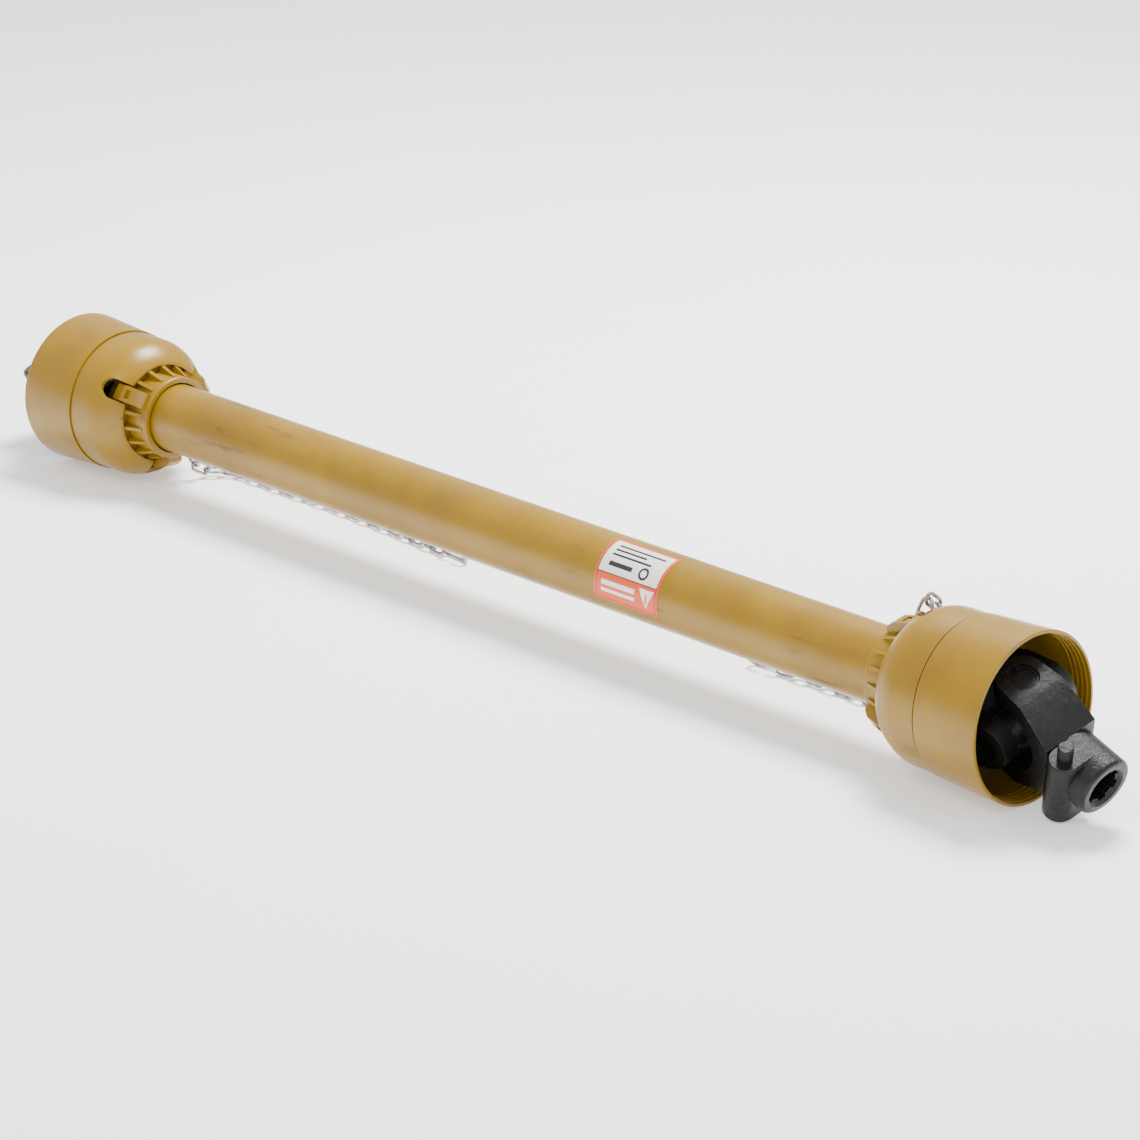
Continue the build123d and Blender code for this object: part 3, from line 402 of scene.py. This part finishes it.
drawn_steel = make_metal("drawn tube with grease", (0.32, 0.31, 0.30, 1), (0.18, 0.17, 0.16, 1),
                         (0.08, 0.06, 0.03, 1), 0.3, 0.5, 700.0, 0.0002)
print("made the bare metals")

# %% [markdown]
# The seals are black rubber and the bearing rings pale nylon. Neither is a metal and neither is
# shiny, so the grain and a little grease are all they need.

# %% Rubber and nylon


def make_soft(name, clean, stained, rough_low, rough_high, depth):
    material, tree, shader = new_material(name)
    skin = use_group(tree, grain, Coarse=90.0, Fine=1500.0, Share=0.4)
    colour = blend_colours(tree, band(tree, skin.outputs["Variation"], 0.35, 0.7), clean, stained)
    worn = use_group(tree, edge_wear, Amount=0.4, Scale=200.0, Sharpness=0.4)
    colour = blend_colours(tree, calc(tree, "MULTIPLY", worn.outputs["Mask"], 0.3), colour, clean)
    rough = calc(tree, "ADD", rough_low,
                 calc(tree, "MULTIPLY", skin.outputs["Variation"], rough_high - rough_low))
    connect(tree, shader, colour, rough, skin.outputs["Height"], depth)
    return material


seal_rubber = make_soft("seal rubber", (0.022, 0.022, 0.022, 1), (0.035, 0.03, 0.025, 1), 0.5, 0.8, 0.0002)
ring_nylon = make_soft("ring nylon", (0.62, 0.59, 0.50, 1), (0.40, 0.34, 0.22, 1), 0.35, 0.6, 0.0001)
print("made the rubber and the nylon")

# %% [markdown]
# The label is a printed sheet with a white half and an orange half inside a red-orange border.
# Its print is generic: a triangle, a ring, a few bars and no words. The pattern has to follow the
# round tube, so it is drawn in two numbers worked out from Object coordinates: how far along the label
# a point is, and how far round it.

# %% Label print
# how far round the tube the label reaches, from level on the near side
LABEL_BOTTOM_TURN = radians(-22.0)
LABEL_TOP_TURN = radians(85.0)


def make_label():
    material, tree, shader = new_material("printed label")
    place = add_node(tree, "ShaderNodeTexCoord").outputs["Object"]
    split = add_node(tree, "ShaderNodeSeparateXYZ")
    tree.links.new(place, split.inputs[0])
    along = band(tree, split.outputs["X"], label_low[0], label_high[0])
    up = calc(tree, "SUBTRACT", split.outputs["Z"], axis_height)
    turn = calc(tree, "ARCTAN2", up, calc(tree, "MULTIPLY", split.outputs["Y"], -1.0))
    around = band(tree, turn, LABEL_BOTTOM_TURN, LABEL_TOP_TURN)

    def inside(value, low, high):
        return calc(tree, "MULTIPLY", calc(tree, "GREATER_THAN", value, low),
                    calc(tree, "LESS_THAN", value, high))

    def area(left, right, bottom, top):
        return calc(tree, "MULTIPLY", inside(along, left, right), inside(around, bottom, top))

    # the places below are shares of the label's length and of its way round the tube
    white = (0.80, 0.79, 0.75, 1)
    orange = (0.72, 0.07, 0.006, 1)
    ink = (0.02, 0.02, 0.02, 1)
    colour = blend_colours(tree, area(0.035, 0.965, 0.03, 0.97), orange, ink)
    colour = blend_colours(tree, area(0.045, 0.955, 0.04, 0.96), colour, white)
    colour = blend_colours(tree, area(0.045, 0.955, 0.04, 0.41), colour, orange)
    colour = blend_colours(tree, area(0.045, 0.955, 0.405, 0.42), colour, ink)
    # a triangle with a bar in it, on the orange half
    rise = calc(tree, "SUBTRACT", 0.36, around)
    half = calc(tree, "ABSOLUTE", calc(tree, "SUBTRACT", along, 0.82))
    reach = calc(tree, "MULTIPLY", calc(tree, "SUBTRACT", 0.27, rise), 0.42)
    sign = calc(tree, "MULTIPLY", calc(tree, "LESS_THAN", half, reach), inside(around, 0.09, 0.36))
    colour = blend_colours(tree, sign, colour, white)
    colour = blend_colours(tree, area(0.805, 0.835, 0.15, 0.29), colour, orange)
    # bars in place of words on both halves, with a ring and a block on the white one
    for bottom, top in ((0.14, 0.19), (0.24, 0.31)):
        colour = blend_colours(tree, area(0.12, 0.64, bottom, top), colour, white)
    for left, right, bottom, top in ((0.14, 0.86, 0.84, 0.875), (0.14, 0.62, 0.76, 0.795),
                                     (0.14, 0.74, 0.68, 0.715)):
        colour = blend_colours(tree, area(left, right, bottom, top), colour, ink)
    from_middle = calc(tree, "SUBTRACT", along, 0.70)
    high_middle = calc(tree, "MULTIPLY", calc(tree, "SUBTRACT", around, 0.555), 0.8)
    far = calc(tree, "SQRT", calc(tree, "ADD", calc(tree, "MULTIPLY", from_middle, from_middle),
               calc(tree, "MULTIPLY", high_middle, high_middle)))
    colour = blend_colours(tree, inside(far, 0.045, 0.075), colour, ink)
    colour = blend_colours(tree, area(0.16, 0.52, 0.52, 0.59), colour, ink)
    marks = use_group(tree, scuffs, Amount=0.5, Fine=200.0, Patch=18.0, Stretch=0.3)
    colour = blend_colours(tree, calc(tree, "MULTIPLY", marks.outputs["Mask"], 0.4),
                           colour, (0.35, 0.28, 0.2, 1))
    skin = use_group(tree, grain, Coarse=60.0, Fine=800.0, Share=0.6)
    rough = calc(tree, "ADD", 0.24, calc(tree, "MULTIPLY", skin.outputs["Variation"], 0.2))
    connect(tree, shader, colour, rough, skin.outputs["Height"], 0.0001, 0.3)
    return material


label_print = make_label()
print("made", label_print.name, "for", round(label_high[0] - label_low[0], 3), "m of tube")

# %% [markdown]
# The frame's meshes are loose triangles, which shade flat and have knife edges. Real edges are
# always a little round and catch the light. So each part gets a copy: its triangles are joined
# and flat areas made whole again, sharp edges are marked, and a Bevel modifier rounds them. The
# copy rides on the same body and is shown in place of the frame's part.

# %% Dressing a part
WELD_DISTANCE = 2e-6          # corners nearer than this are one corner
FLAT_ANGLE = radians(0.6)     # triangles that meet flatter than this become one face


def dressed(node, material, edge=0.0, sharp_angle=32.0):
    """A copy of a frame part with joined faces, soft shading, rounded edges and its finish."""
    source = nodes[node]
    work = bmesh.new()
    work.from_mesh(source.data)
    bmesh.ops.remove_doubles(work, verts=work.verts, dist=WELD_DISTANCE)
    bmesh.ops.dissolve_limit(work, angle_limit=FLAT_ANGLE, verts=work.verts, edges=work.edges,
                             use_dissolve_boundaries=False, delimit={"NORMAL"})
    for face in work.faces:
        face.smooth = True
    for joint in work.edges:
        joint.smooth = len(joint.link_faces) == 2 and joint.calc_face_angle(0.0) < radians(sharp_angle)
    mesh = bpy.data.meshes.new(node + "_shown")
    work.to_mesh(mesh)
    work.free()
    mesh.materials.append(material)
    piece = bpy.data.objects.new(node + "_shown", mesh)
    bpy.context.scene.collection.objects.link(piece)
    if edge:
        rounding = piece.modifiers.new("rounded edges", "BEVEL")
        rounding.width = edge
        rounding.segments = 2
        rounding.limit_method = "ANGLE"
        rounding.angle_limit = radians(sharp_angle)
        rounding.harden_normals = True
    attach(piece, source["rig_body"])
    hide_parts(node)
    return piece


print("ready to dress", len(nodes), "parts")

# %% [markdown]
# The guard parts come first. A moulding's edges are about half a millimetre round, and the
# chain's wire has no edges at all, only soft shading.

# %% Dressing the guard
MOULDED_EDGE = 0.0005
WIRE_SHARP_ANGLE = 60.0
ends = ("tractor", "implement")
for end in ends:
    dressed(end + "_guard_cone", guard_plastic, MOULDED_EDGE)
    dressed(end + "_guard_hub", guard_plastic, MOULDED_EDGE)
    dressed(end + "_bearing_ring", ring_nylon)
    for piece_name in ("chain_clip", "chain", "chain_hook"):
        dressed(f"{end}_{piece_name}", zinc, sharp_angle=WIRE_SHARP_ANGLE)
dressed("outer_guard_tube", guard_plastic)
dressed("inner_guard_tube", guard_plastic)
dressed("guard_sticker", label_print)
print("dressed the guard")

# %% [markdown]
# Forged yokes are rounder than machined parts, so their edges get a wider bevel. The joint
# crosses, cups and rings inside the ears keep crisp edges.

# %% Dressing the joints
FORGED_EDGE = 0.0011
MACHINED_EDGE = 0.0003
joint_finishes = {
    "tube_yoke": (black_paint, FORGED_EDGE),
    "end_yoke": (black_paint, FORGED_EDGE),
    "cross": (forged_steel, MACHINED_EDGE),
    "tube_yoke_cups": (black_paint, MACHINED_EDGE),
    "end_yoke_cups": (black_paint, MACHINED_EDGE),
    "tube_yoke_circlips": (black_paint, 0.0),
    "end_yoke_circlips": (black_paint, 0.0),
    "cross_seals": (seal_rubber, MACHINED_EDGE),
    "needle_crowns": (ground_steel, 0.0),
    "grease_nipple": (brass, 0.0),
    "roll_pin": (spring_steel, 0.0),
    "lock_pin": (black_paint, MACHINED_EDGE),
    "lock_plug": (black_paint, MACHINED_EDGE),
    "lock_spring": (spring_steel, 0.0),
}
for end in ends:
    for part_name, (finish, rounding_width) in joint_finishes.items():
        dressed(f"{end}_{part_name}", finish, rounding_width)
dressed("outer_drive_tube", drawn_steel)
dressed("inner_drive_tube", drawn_steel)
print("dressed the joints and the drive tubes")

# %% [markdown]
# A lock's spring is squeezed when its button is pressed: one end stays on the plug and the other follows
# the pin. Here each shown spring only gets a mesh of its own; nothing squeezes it.

# %% Springs with meshes of their own
for end in ends:
    spring = bpy.data.objects[end + "_lock_spring_shown"]
    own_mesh(spring)

# %% [markdown]
# The floor is a plain pale sheet, so that nothing competes with the shaft. It is far larger than
# the shaft, it gives off a little light of its own so that it stays pale, and its faint unevenness
# keeps it from looking like a computer's white.

# %% Floor
FLOOR_REACH = 14.0


def make_floor():
    sheet = bmesh.new()
    bmesh.ops.create_grid(sheet, x_segments=2, y_segments=2, size=FLOOR_REACH)
    mesh = bpy.data.meshes.new("floor")
    sheet.to_mesh(mesh)
    sheet.free()
    material, tree, shader = new_material("pale floor")
    shader.inputs["Specular IOR Level"].default_value = 0.2
    shader.inputs["Emission Color"].default_value = (1.0, 1.0, 1.0, 1.0)
    shader.inputs["Emission Strength"].default_value = 0.45
    skin = use_group(tree, grain, Coarse=3.0, Fine=260.0, Share=0.5)
    colour = blend_colours(tree, skin.outputs["Variation"], (0.93, 0.93, 0.93, 1), (0.96, 0.96, 0.96, 1))
    rough = calc(tree, "ADD", 0.6, calc(tree, "MULTIPLY", skin.outputs["Variation"], 0.1))
    connect(tree, shader, colour, rough, skin.outputs["Height"], 0.0001, 0.2)
    mesh.materials.append(material)
    floor = bpy.data.objects.new("floor", mesh)
    bpy.context.scene.collection.objects.link(floor)


make_floor()
print("laid the floor")

# %% [markdown]
# Studio light for a product is large and soft. One wide panel overhead gives the highlight along
# the top of the tube, a second one lifts the near side, and a small weak one looks into the cone
# at the tractor end. A pale surrounding world fills the shadows so that they stay light.

# %% Light


def add_panel(name, place, target, size, power):
    """A soft square light that faces a point."""
    light = bpy.data.lights.new(name, "AREA")
    light.size = size
    light.energy = power
    lamp = bpy.data.objects.new(name, light)
    lamp.location = place
    lamp.rotation_euler = (Vector(target) - Vector(place)).to_track_quat("-Z", "Y").to_euler()
    bpy.context.scene.collection.objects.link(lamp)


middle = (0.0, 0.0, axis_height)
add_panel("overhead panel", (-0.2, 1.2, 2.6), middle, size=1.2, power=230.0)
add_panel("near panel", (0.9, -2.8, 3.0), middle, size=1.6, power=60.0)
add_panel("end panel", (2.6, 0.6, 1.0), (0.6, 0.0, axis_height), size=0.6, power=8.0)
world = bpy.data.worlds.new("studio")
world.use_nodes = True
sky = world.node_tree.nodes["Background"]
sky.inputs["Color"].default_value = (1.0, 1.0, 1.0, 1.0)
sky.inputs["Strength"].default_value = 0.95
bpy.context.scene.world = world
print("three panels and a pale world")

# %% [markdown]
# The camera stands back and looks down along the shaft from its tractor end. A long lens keeps
# the far cone from shrinking too much.

# %% Camera
CAMERA_PLACE = Vector((2.83786, -2.62725, 1.43554))
CAMERA_WAY = Vector((-0.6798, 0.6500, -0.3390))
LENS_MM = 132.5
SENSOR_MM = 36.0
camera_data = bpy.data.cameras.new("camera")
camera_data.lens = LENS_MM
camera_data.sensor_width = SENSOR_MM
camera = bpy.data.objects.new("camera", camera_data)
camera.location = CAMERA_PLACE
camera.rotation_euler = CAMERA_WAY.to_track_quat("-Z", "Y").to_euler()
bpy.context.scene.collection.objects.link(camera)
bpy.context.scene.camera = camera
print("camera is", round(CAMERA_PLACE.length, 2), "m from the origin")
